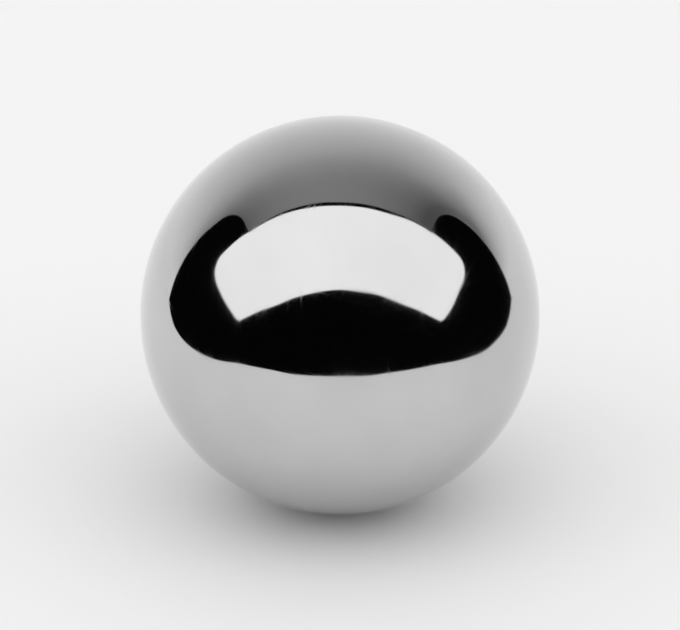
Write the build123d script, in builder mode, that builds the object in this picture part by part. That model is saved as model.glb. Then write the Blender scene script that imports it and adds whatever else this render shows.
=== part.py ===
from build123d import *
import os

# Sphere magnet
# One sintered ball, ground round and plated mirror-bright. The plating is bonded to
# the ball and follows its form, so the whole magnet is a single solid.
# Millimetres. The origin is the ball's centre, and +Z runs along the magnetic axis
# towards the north pole.

# Driving dimension
ball_diameter = 5.0

os.makedirs("parts", exist_ok=True)

# Magnet ball
# The outline is the half disc between the two poles. Turning it round the magnetic
# axis gives the form that grinding leaves, with one radius in every direction.
with BuildPart() as magnet_ball:
    with BuildSketch(Plane.XZ) as half_disc:
        with BuildLine():
            pole_to_pole = CenterArc((0, 0), ball_diameter / 2, -90, 180)
            Line(pole_to_pole @ 1, pole_to_pole @ 0)
        make_face()
    revolve(axis=Axis.Z)

magnet_ball.part.label = "magnet_ball"
export_step(magnet_ball.part, "parts/magnet_ball.step")
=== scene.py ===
import math

import bmesh
import bpy
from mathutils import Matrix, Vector, noise


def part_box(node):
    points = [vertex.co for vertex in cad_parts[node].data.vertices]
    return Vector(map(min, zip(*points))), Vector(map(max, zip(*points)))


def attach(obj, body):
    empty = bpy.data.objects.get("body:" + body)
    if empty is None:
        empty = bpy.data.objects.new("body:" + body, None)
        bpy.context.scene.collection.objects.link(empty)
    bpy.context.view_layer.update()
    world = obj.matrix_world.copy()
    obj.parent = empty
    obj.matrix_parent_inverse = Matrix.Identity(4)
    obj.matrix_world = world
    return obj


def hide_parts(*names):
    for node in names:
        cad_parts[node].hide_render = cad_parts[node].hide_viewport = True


bl_info = {
    "name": "Sphere magnet",
    "version": (1, 0, 0),
    "blender": (4, 5, 0),
    "location": "View3D > Sidebar > Sphere magnet",
    "description": "Dresses a packed ball magnet in bright nickel and sets up its studio",
    "category": "Object",
}

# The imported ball. Blender works in metres, with the origin at the ball's centre.
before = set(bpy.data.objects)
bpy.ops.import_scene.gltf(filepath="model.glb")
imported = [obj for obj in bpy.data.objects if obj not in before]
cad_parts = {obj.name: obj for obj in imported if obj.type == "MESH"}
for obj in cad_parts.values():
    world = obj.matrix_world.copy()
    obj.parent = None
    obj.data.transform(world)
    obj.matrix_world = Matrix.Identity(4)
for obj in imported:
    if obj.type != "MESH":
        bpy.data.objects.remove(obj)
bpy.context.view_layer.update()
BALL_LOW, BALL_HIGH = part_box("magnet_ball")

# A millimetre and a micrometre in metres
MM = 0.001
UM = 0.000001

# The picture's own width in pixels
PICTURE_WIDTH = 680
# The camera sees from this share of its distance from the ball to this many times that distance
CAMERA_CLIP = (0.01, 100)

# The size of the nickel's clouds in millimetres, and how many finer layers their noise has
# and how strong each is next to the last
CLOUD_SIZE = 1.5
CLOUD_LAYERS = 3
CLOUD_LAYER_SHARE = 0.55
# The noise level at which the nickel is clearest, and at which it is haziest
CLOUD_RANGE = (0.35, 0.65)

# The nickel's hairlines, in millimetres, and the finer layers of their noise
HAIRLINE_LENGTH = 1.5
HAIRLINE_SPACING = 0.05
HAIRLINE_LAYERS = 1
# The noise level from which a hairline starts, and at which it is at its deepest
HAIRLINE_EDGE = (0.64, 0.80)
# How far each set of hairlines is turned, in radians about X, Y and Z
HAIRLINE_TURNS = ((0.3, 0.2, 0.0), (1.3, 0.5, 0.7), (0.6, 1.3, 0.3), (1.0, -0.9, 1.2), (-0.8, 0.7, 2.0))
# Where a set of hairlines starts to fade towards the ends of its axis, and where it is gone, in radii
HAIRLINE_REACH = (0.75, 0.9)
# The depth of a hairline, in micrometres
HAIRLINE_DEPTH = 0.03

# The nickel's roughness where it is clearest and haziest, and what a hairline adds
CLEAR_ROUGHNESS = 0.03
HAZY_ROUGHNESS = 0.07
HAIRLINE_ROUGHNESS = 0.05

# The white board's matt face, which has less than half of a plastic's usual shine
BOARD_ROUGHNESS = 0.7
BOARD_SHINE = 0.2
PLINTH_SIDES = 96

# Right half of the softbox's face, as (x, y) in softbox heights: the middle of its front edge,
# its front corner, its back corner and the middle of its back edge. Minus y is towards the camera.
SOFTBOX_HALF = ((0.0, -1.13), (5.7, -3.1), (2.6, 0.18), (0.0, -0.05))
SOFTBOX_ROUNDING = 0.7
SOFTBOX_CORNER_STEPS = 12

# The background paper, in softbox heights. It hangs straight behind the plinth, from its bend
# it curls forward, and then it runs level to a bar just behind the softbox.
PAPER_BACK = 0.5
PAPER_HALF_WIDTH = 0.99
PAPER_FOOT = -0.25
PAPER_BEND = 0.64
PAPER_CURL = 0.32
PAPER_CURL_STEPS = 24
PAPER_BAR = 0.03
# How bright the paper's painted glow is level with the ball and level with the softbox, where 1 is white,
# and how much sooner than evenly this painted shade darkens on the way up
PAPER_LOW_SHADE = 0.88
PAPER_HIGH_SHADE = 0.28
PAPER_FALL = 1.2
# Where the paper's painted glow is brightest from side to side, the share of it that is gone one softbox
# height away from there, and the height up to which this painted side shade grows in from none at the
# bottom
PAPER_BRIGHTEST = -0.15
PAPER_SIDE_FALL = 0.65
PAPER_SIDE_SHADE_RISE = 0.4

# Right half of the line of low black cards on the plinth, as (x, y) in millimetres, from in
# front of the ball round to the plinth's edge. It stays just outside the picture.
CARDS_HALF = ((0.0, -17.6), (12.0, -12.4), (12.4, 1.0), (25.8, 10.9))
CARDS_ROUNDING = 4
CARDS_CORNER_STEPS = 8

# The black felt's colour, how many softbox heights away it stands, outside everything else,
# and how finely its round form is divided
FELT_COLOUR = "#060606"
SURROUND_RADIUS = 9
SURROUND_ROUNDS = 4


def linear(hex_colour):
    """Turns an sRGB hex colour, such as #C9C9CC, to linear red, green and blue."""
    channels = [int(hex_colour[start : start + 2], 16) / 255 for start in (1, 3, 5)]
    return [c / 12.92 if c <= 0.04045 else ((c + 0.055) / 1.055) ** 2.4 for c in channels]


def with_alpha(colour):
    """A linear colour as the four numbers that a shader's socket takes."""
    return (*colour, 1.0)


def per_metre(feature_mm):
    """The scale at which a texture's features are that many millimetres across."""
    return 1 / (feature_mm * MM)


def left_half(right_half):
    """Mirrors half an outline, so that it runs from its far end back to the middle."""
    return [(-x, y) for x, y in reversed(right_half) if x > 0]


def add_node(tree, kind, settings=None, links=None):
    """Adds a node, sets its options and sockets, and links its inputs."""
    node = tree.nodes.new(kind)
    for key, value in (settings or {}).items():
        if isinstance(key, str) and hasattr(node, key):
            setattr(node, key, value)
        else:
            node.inputs[key].default_value = value
    for key, source in (links or {}).items():
        tree.links.new(source, node.inputs[key])
    return node


def new_material(name):
    """An empty node material, with its tree and its output node."""
    material = bpy.data.materials.new(name)
    material.use_nodes = True
    material.node_tree.nodes.clear()
    output = material.node_tree.nodes.new("ShaderNodeOutputMaterial")
    return material, material.node_tree, output


def new_object(name, bm, material):
    """Writes a bmesh to a new object that sits at the origin."""
    mesh = bpy.data.meshes.new(name)
    bm.to_mesh(mesh)
    bm.free()
    mesh.materials.append(material)
    piece = bpy.data.objects.new(name, mesh)
    bpy.context.scene.collection.objects.link(piece)
    return piece


def mirror_only(piece):
    """Lets only the mirror see a piece, which then hides nothing and takes no light away."""
    piece.visible_camera = False
    piece.visible_diffuse = False
    piece.visible_shadow = False


# Sizes and colours that a user would change


class BallSettings(bpy.types.PropertyGroup):
    """The ball's size and its plated finish."""

    diameter: bpy.props.FloatProperty(
        name="Diameter",
        description="Across the ball, from pole to pole",
        default=BALL_HIGH.z - BALL_LOW.z,
        min=0.1 * MM,
        unit="LENGTH",
    )
    plate_colour: bpy.props.FloatVectorProperty(
        name="Plate colour",
        description="Colour of a clean bright nickel surface seen straight on",
        default=linear("#CCCCCD"),
        size=3,
        min=0.0,
        max=1.0,
        subtype="COLOR",
    )
    haze_colour: bpy.props.FloatVectorProperty(
        name="Haze colour",
        description="Colour where the nickel is a shade duller",
        default=linear("#C6C6C7"),
        size=3,
        min=0.0,
        max=1.0,
        subtype="COLOR",
    )
    lobe_width: bpy.props.FloatProperty(
        name="Lobe width",
        description="Distance between the shallow high spots that grinding leaves",
        default=0.9 * MM,
        min=0.1 * MM,
        unit="LENGTH",
    )
    lobe_height: bpy.props.FloatProperty(
        name="Lobe height",
        description="How far the low spots may lie under a perfect sphere",
        default=6 * UM,
        min=0.0,
        precision=6,
        unit="LENGTH",
    )
    peel_width: bpy.props.FloatProperty(
        name="Peel width",
        description="Distance between the bumps of the plating's orange peel",
        default=0.3 * MM,
        min=0.1 * MM,
        unit="LENGTH",
    )
    peel_height: bpy.props.FloatProperty(
        name="Peel height",
        description="Height of the plating's orange peel",
        default=1.5 * UM,
        min=0.0,
        precision=6,
        unit="LENGTH",
    )


class StageSettings(bpy.types.PropertyGroup):
    """The camera's view and the studio round the ball."""

    elevation: bpy.props.FloatProperty(
        name="Camera elevation",
        description="Angle at which the camera looks down on the ball",
        default=math.radians(24.2),
        subtype="ANGLE",
    )
    ball_pixels: bpy.props.FloatProperty(
        name="Ball in picture",
        description="Width of the ball in the picture, in pixels",
        default=400,
        min=10,
        subtype="PIXEL",
    )
    lens: bpy.props.FloatProperty(
        name="Lens",
        description="Focal length of the close-up lens",
        default=400,
        min=10,
        unit="CAMERA",
    )
    plinth_radius: bpy.props.FloatProperty(
        name="Plinth radius",
        description="Half the width of the round white board that the ball stands on",
        default=28 * MM,
        min=5 * MM,
        unit="LENGTH",
    )
    softbox_height: bpy.props.FloatProperty(
        name="Softbox height",
        description="Height of the overhead softbox above the ball's centre",
        default=0.25,
        min=0.05,
        unit="LENGTH",
    )
    softbox_radiance: bpy.props.FloatProperty(
        name="Softbox brightness",
        description="Brightness of the softbox's face, where 1 is white",
        default=1.33,
        min=0.0,
    )
    board_colour: bpy.props.FloatVectorProperty(
        name="Board colour",
        description="Colour of the pale board under the ball",
        default=linear("#EDEDED"),
        size=3,
        min=0.0,
        max=1.0,
        subtype="COLOR",
    )
    room_colour: bpy.props.FloatVectorProperty(
        name="Room colour",
        description="Colour of the pale room past the board, the same as the lit board's",
        default=linear("#F4F4F4"),
        size=3,
        min=0.0,
        max=1.0,
        subtype="COLOR",
    )


# Materials


def hairline_set(tree, place, turn, radius):
    """Hairlines that run round the ball like lines of latitude, about an axis that is turned."""
    # Each is a thin slice through the ball. Real ones are a tenth as wide, and are drawn this coarse
    # so that they show.
    slices = add_node(
        tree,
        "ShaderNodeMapping",
        {
            "vector_type": "TEXTURE",
            "Rotation": turn,
            "Scale": [size * MM for size in (HAIRLINE_LENGTH, HAIRLINE_LENGTH, HAIRLINE_SPACING)],
        },
        {"Vector": place},
    ).outputs["Vector"]
    grain = add_node(
        tree, "ShaderNodeTexNoise", {"Scale": 1.0, "Detail": HAIRLINE_LAYERS}, {"Vector": slices}
    )
    lines = add_node(
        tree,
        "ShaderNodeMapRange",
        {"From Min": HAIRLINE_EDGE[0], "From Max": HAIRLINE_EDGE[1]},
        {"Value": grain.outputs["Fac"]},
    ).outputs["Result"]

    # Near the ends of the axis the slices would show as rings and spots, so they fade out there
    height = add_node(tree, "ShaderNodeSeparateXYZ", None, {"Vector": slices}).outputs["Z"]
    from_middle = add_node(tree, "ShaderNodeMath", {"operation": "ABSOLUTE"}, {0: height}).outputs["Value"]
    start, end = [reach * radius / (HAIRLINE_SPACING * MM) for reach in HAIRLINE_REACH]
    share = add_node(
        tree,
        "ShaderNodeMapRange",
        {"From Min": start, "From Max": end, "To Min": 1.0, "To Max": 0.0},
        {"Value": from_middle},
    ).outputs["Result"]
    return add_node(
        tree, "ShaderNodeMath", {"operation": "MULTIPLY"}, {0: lines, 1: share}
    ).outputs["Value"]


def bright_nickel():
    """Bright nickel, electroplated over a ball that was ground, tumbled and polished."""
    # It gives a near perfect mirror of neutral grey. What tells it from a drawn sphere is a cloudy
    # change of gloss and tone, and hairlines in every direction from the tumbling barrel.
    ball = bpy.context.scene.magnet_ball
    material, tree, output = new_material("bright_nickel")
    place = add_node(tree, "ShaderNodeTexCoord").outputs["Object"]

    # Clouds, where the polish is a shade less keen
    clouds = add_node(
        tree,
        "ShaderNodeTexNoise",
        {"Scale": per_metre(CLOUD_SIZE), "Detail": CLOUD_LAYERS, "Roughness": CLOUD_LAYER_SHARE},
        {"Vector": place},
    )
    haze = add_node(
        tree,
        "ShaderNodeMapRange",
        {"From Min": CLOUD_RANGE[0], "From Max": CLOUD_RANGE[1]},
        {"Value": clouds.outputs["Fac"]},
    ).outputs["Result"]
    colour = add_node(
        tree,
        "ShaderNodeMix",
        {"data_type": "RGBA", 6: with_alpha(ball.plate_colour), 7: with_alpha(ball.haze_colour)},
        {"Factor": haze},
    )

    first_turn, *more_turns = HAIRLINE_TURNS
    hairline = hairline_set(tree, place, first_turn, ball.diameter / 2)
    for turn in more_turns:
        crossing = hairline_set(tree, place, turn, ball.diameter / 2)
        hairline = add_node(
            tree, "ShaderNodeMath", {"operation": "MAXIMUM"}, {0: hairline, 1: crossing}
        ).outputs["Value"]

    clear_gloss = add_node(
        tree,
        "ShaderNodeMapRange",
        {"To Min": CLEAR_ROUGHNESS, "To Max": HAZY_ROUGHNESS},
        {"Value": haze},
    )
    gloss = add_node(
        tree,
        "ShaderNodeMath",
        {"operation": "MULTIPLY_ADD", 1: HAIRLINE_ROUGHNESS},
        {0: hairline, 2: clear_gloss.outputs["Result"]},
    )

    grooves = add_node(
        tree,
        "ShaderNodeBump",
        {"invert": True, "Strength": 1.0, "Distance": HAIRLINE_DEPTH * UM},
        {"Height": hairline},
    )

    shader = add_node(
        tree,
        "ShaderNodeBsdfPrincipled",
        {"Metallic": 1.0},
        {
            "Base Color": colour.outputs[2],
            "Roughness": gloss.outputs["Value"],
            "Normal": grooves.outputs["Normal"],
        },
    )
    tree.links.new(shader.outputs["BSDF"], output.inputs["Surface"])
    return material


def white_board():
    """Matt white laminated board, which shows the ball's shadow and next to no shine."""
    stage = bpy.context.scene.magnet_stage
    material, tree, output = new_material("white_board")
    shader = add_node(
        tree,
        "ShaderNodeBsdfPrincipled",
        {
            "Base Color": with_alpha(stage.board_colour),
            "Roughness": BOARD_ROUGHNESS,
            "Specular IOR Level": BOARD_SHINE,
        },
    )
    tree.links.new(shader.outputs["BSDF"], output.inputs["Surface"])
    return material


def white_nylon():
    """White nylon, the softbox's even, glowing face."""
    stage = bpy.context.scene.magnet_stage
    material, tree, output = new_material("white_nylon")
    shader = add_node(tree, "ShaderNodeEmission", {"Strength": stage.softbox_radiance})
    tree.links.new(shader.outputs["Emission"], output.inputs["Surface"])
    return material


def black_felt():
    """Black felt, which gives back no light worth seeing in a mirror."""
    material, tree, output = new_material("black_felt")
    shader = add_node(tree, "ShaderNodeBsdfDiffuse", {"Color": with_alpha(linear(FELT_COLOUR))})
    tree.links.new(shader.outputs["BSDF"], output.inputs["Surface"])
    return material


def paper_painted_glow():
    """Background paper with a painted glow, whose painted shade darkens it the higher it hangs and towards
    its sides.
    """
    # Its light is given, not worked out from the lamps, so that it is smooth in the mirror
    stage = bpy.context.scene.magnet_stage
    material, tree, output = new_material("paper_painted_glow")
    place = add_node(tree, "ShaderNodeTexCoord").outputs["Object"]
    # Height is measured from the ball's middle, and sideways from the paper's brightest place
    in_softbox_heights = add_node(
        tree,
        "ShaderNodeMapping",
        {"Location": (-PAPER_BRIGHTEST, 0, 0), "Scale": (1 / stage.softbox_height,) * 3},
        {"Vector": place},
    ).outputs["Vector"]
    spot = add_node(tree, "ShaderNodeSeparateXYZ", None, {"Vector": in_softbox_heights})
    below_softbox = add_node(
        tree,
        "ShaderNodeMapRange",
        {"To Min": 1.0, "To Max": 0.0},
        {"Value": spot.outputs["Z"]},
    ).outputs["Result"]
    fall = add_node(
        tree, "ShaderNodeMath", {"operation": "POWER", 1: PAPER_FALL}, {0: below_softbox}
    ).outputs["Value"]
    shade = add_node(
        tree,
        "ShaderNodeMapRange",
        {"To Min": PAPER_HIGH_SHADE, "To Max": PAPER_LOW_SHADE},
        {"Value": fall},
    ).outputs["Result"]

    sideways = add_node(
        tree,
        "ShaderNodeMath",
        {"operation": "MULTIPLY"},
        {0: spot.outputs["X"], 1: spot.outputs["X"]},
    ).outputs["Value"]
    above_floor = add_node(
        tree, "ShaderNodeMapRange", {"From Max": PAPER_SIDE_SHADE_RISE}, {"Value": spot.outputs["Z"]}
    ).outputs["Result"]
    side_fall = add_node(
        tree, "ShaderNodeMath", {"operation": "MULTIPLY"}, {0: sideways, 1: above_floor}
    ).outputs["Value"]
    side_share = add_node(
        tree,
        "ShaderNodeMapRange",
        {"To Min": 1.0, "To Max": 1 - PAPER_SIDE_FALL},
        {"Value": side_fall},
    ).outputs["Result"]
    light = add_node(
        tree, "ShaderNodeMath", {"operation": "MULTIPLY"}, {0: shade, 1: side_share}
    ).outputs["Value"]

    # The paper glows with this painted light and painted shade, though it is no lamp
    shader = add_node(tree, "ShaderNodeEmission", None, {"Strength": light})
    tree.links.new(shader.outputs["Emission"], output.inputs["Surface"])
    return material


# Parts of the stage


def make_plinth(stage):
    """The round board that the ball stands on."""
    bm = bmesh.new()
    bmesh.ops.create_circle(bm, cap_ends=True, segments=PLINTH_SIDES, radius=stage.plinth_radius)
    bmesh.ops.translate(bm, verts=bm.verts, vec=(0, 0, BALL_LOW.z))
    new_object("plinth", bm, white_board())


def make_surround(stage, felt):
    """Black felt on every side, past everything else that the mirror shows."""
    bm = bmesh.new()
    radius = SURROUND_RADIUS * stage.softbox_height
    bmesh.ops.create_icosphere(bm, subdivisions=SURROUND_ROUNDS, radius=radius)
    surround = new_object("surround", bm, felt)
    mirror_only(surround)


def make_cards(felt):
    """Low black cards that stand on the plinth, as high as the ball's middle."""
    bm = bmesh.new()
    route = (*left_half(CARDS_HALF), *CARDS_HALF)
    feet = [bm.verts.new((x * MM, y * MM, BALL_LOW.z)) for x, y in route]
    edges = [bm.edges.new(pair) for pair in zip(feet, feet[1:])]
    walls = bmesh.ops.extrude_edge_only(bm, edges=edges)["geom"]
    tops = [corner for corner in walls if isinstance(corner, bmesh.types.BMVert)]
    bmesh.ops.translate(bm, verts=tops, vec=(0, 0, -BALL_LOW.z))
    bmesh.ops.bevel(
        bm,
        geom=[edge for edge in bm.edges if len(edge.link_faces) == 2],
        affect="EDGES",
        offset=CARDS_ROUNDING * MM,
        segments=CARDS_CORNER_STEPS,
        profile=0.5,
        material=-1,
    )
    cards = new_object("low_cards", bm, felt)
    mirror_only(cards)


def make_paper(stage):
    """Background paper that hangs behind the plinth and curls forward over it."""
    bm = bmesh.new()
    ends = [bm.verts.new((x, PAPER_BACK, PAPER_BEND)) for x in (-PAPER_HALF_WIDTH, PAPER_HALF_WIDTH)]
    bend = bm.edges.new(ends)
    drop = bmesh.ops.extrude_edge_only(bm, edges=[bend])["geom"]
    foot = [corner for corner in drop if isinstance(corner, bmesh.types.BMVert)]
    bmesh.ops.translate(bm, verts=foot, vec=(0, 0, PAPER_FOOT - PAPER_BEND))
    curl_middle = PAPER_BACK - PAPER_CURL
    curl = bmesh.ops.spin(
        bm,
        geom=[*ends, bend],
        cent=(0, curl_middle, PAPER_BEND),
        axis=(1, 0, 0),
        angle=math.radians(90),
        steps=PAPER_CURL_STEPS,
    )["geom_last"]
    level = bmesh.ops.extrude_edge_only(
        bm, edges=[edge for edge in curl if isinstance(edge, bmesh.types.BMEdge)]
    )["geom"]
    front = [corner for corner in level if isinstance(corner, bmesh.types.BMVert)]
    bmesh.ops.translate(bm, verts=front, vec=(0, PAPER_BAR - curl_middle, 0))
    bmesh.ops.scale(bm, verts=bm.verts, vec=(stage.softbox_height,) * 3)
    # It glows with painted light and shade, not with light from the lamps
    paper = new_object("background_paper", bm, paper_painted_glow())
    mirror_only(paper)


def make_softbox(stage):
    """The one lamp: a wide softbox overhead, which reaches further forward than back."""
    bm = bmesh.new()
    outline = (*SOFTBOX_HALF, *left_half(SOFTBOX_HALF))
    bm.faces.new([bm.verts.new((x, y, 1)) for x, y in outline])
    bmesh.ops.bevel(
        bm,
        geom=bm.verts,
        affect="VERTICES",
        offset=SOFTBOX_ROUNDING,
        segments=SOFTBOX_CORNER_STEPS,
        profile=0.5,
        material=-1,
    )
    bmesh.ops.scale(bm, verts=bm.verts, vec=(stage.softbox_height,) * 3)
    softbox = new_object("softbox", bm, white_nylon())
    softbox.visible_camera = False


def make_world(stage):
    """A pale room past the plinth's edge, which also lights the plinth from every side."""
    world = bpy.data.worlds.new("pale_room")
    world.use_nodes = True
    background = world.node_tree.nodes["Background"]
    background.inputs["Color"].default_value = with_alpha(stage.room_colour)
    background.inputs["Strength"].default_value = 1.0
    bpy.context.scene.world = world


def make_camera(stage, diameter):
    """A long lens that looks down on the ball, with the ball in the middle of the picture."""
    data = bpy.data.cameras.new("camera")
    data.lens = stage.lens
    distance = PICTURE_WIDTH / stage.ball_pixels * diameter * data.lens / data.sensor_width
    data.clip_start, data.clip_end = [share * distance for share in CAMERA_CLIP]
    towards = Vector((0, -math.cos(stage.elevation), math.sin(stage.elevation)))
    camera = bpy.data.objects.new("camera", data)
    camera.location = towards * distance
    camera.rotation_euler = towards.to_track_quat("Z", "Y").to_euler()
    bpy.context.scene.collection.objects.link(camera)
    bpy.context.scene.camera = camera


# Operators


class MAGNET_OT_ball(bpy.types.Operator):
    """Make the plated ball"""

    bl_idname = "magnet.ball"
    bl_label = "Make Ball"

    rounds: bpy.props.IntProperty(
        name="Rounds",
        description="How finely the ball is divided: 7 gives triangles about 0.04 mm across",
        default=7,
        min=2,
        max=7,
    )

    def execute(self, context):
        ball = context.scene.magnet_ball
        radius = ball.diameter / 2
        bm = bmesh.new()
        bmesh.ops.create_icosphere(bm, subdivisions=self.rounds, radius=radius)
        # Grinding leaves shallow lobes and plating an orange peel, and both bend reflections a little
        waves = ((ball.lobe_width, ball.lobe_height), (ball.peel_width, ball.peel_height))
        for vertex in bm.verts:
            outwards = vertex.co.normalized()
            depth = sum(height * (1 - noise.noise(vertex.co / width)) / 2 for width, height in waves)
            vertex.co = outwards * (radius - depth)
        for face in bm.faces:
            face.smooth = True
        piece = new_object("nickel_ball", bm, bright_nickel())
        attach(piece, "root")
        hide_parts("magnet_ball")
        return {"FINISHED"}


class MAGNET_OT_stage(bpy.types.Operator):
    """Set up the plinth, softbox, background paper, black felt and cards, room and camera"""

    bl_idname = "magnet.stage"
    bl_label = "Set Up Stage"

    def execute(self, context):
        stage = context.scene.magnet_stage
        make_plinth(stage)
        make_softbox(stage)
        make_paper(stage)
        felt = black_felt()
        make_surround(stage, felt)
        make_cards(felt)
        make_world(stage)
        make_camera(stage, context.scene.magnet_ball.diameter)
        context.scene.view_settings.view_transform = "Standard"
        return {"FINISHED"}


class MAGNET_PT_panel(bpy.types.Panel):
    """Lists the ball's and the stage's settings with their operators"""

    bl_label = "Sphere magnet"
    bl_space_type = "VIEW_3D"
    bl_region_type = "UI"
    bl_category = "Sphere magnet"

    def draw(self, context):
        for settings, operator in (
            (context.scene.magnet_ball, MAGNET_OT_ball.bl_idname),
            (context.scene.magnet_stage, MAGNET_OT_stage.bl_idname),
        ):
            column = self.layout.column()
            for name in settings.__annotations__:
                column.prop(settings, name)
            column.operator(operator)


CLASSES = (BallSettings, StageSettings, MAGNET_OT_ball, MAGNET_OT_stage, MAGNET_PT_panel)


def register():
    for cls in CLASSES:
        bpy.utils.register_class(cls)
    bpy.types.Scene.magnet_ball = bpy.props.PointerProperty(type=BallSettings)
    bpy.types.Scene.magnet_stage = bpy.props.PointerProperty(type=StageSettings)


def unregister():
    del bpy.types.Scene.magnet_stage
    del bpy.types.Scene.magnet_ball
    for cls in reversed(CLASSES):
        bpy.utils.unregister_class(cls)


def main():
    register()
    bpy.ops.magnet.ball()
    bpy.ops.magnet.stage()


if __name__ == "__main__":
    main()
